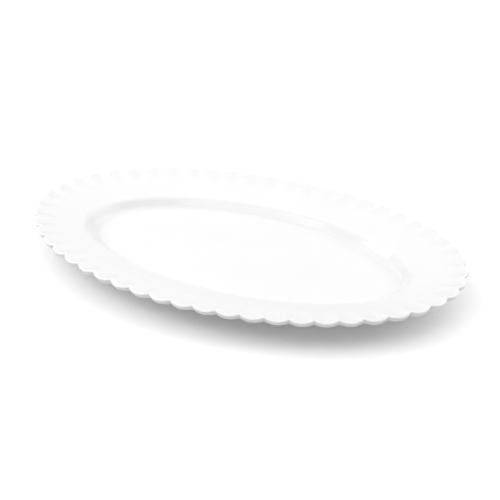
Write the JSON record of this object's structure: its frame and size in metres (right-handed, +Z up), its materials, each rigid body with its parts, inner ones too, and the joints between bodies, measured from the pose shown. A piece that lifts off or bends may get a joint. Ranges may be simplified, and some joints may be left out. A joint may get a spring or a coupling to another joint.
{
  "type": "serving platter",
  "caption": "Oval china serving platter: a flat shallow well in a broad rim with a scalloped, fluted lip, on an oval foot ring.",
  "frame": {"origin": "centre of the foot ring, on the plane that the platter stands on", "axes": "+X along the length, +Y across the width, +Z up out of the well"},
  "size_m": [0.35, 0.222, 0.0257],
  "materials": {
    "fired_clay": "matte",
    "white_glaze": "gloss",
    "bare_foot_clay": "matte"
  },
  "bodies": {
    "root": {"platter_body": "fired_clay", "glaze_coat": "white_glaze", "base_glaze": "white_glaze", "foot_ring": "bare_foot_clay"}
  },
  "joints": []
}
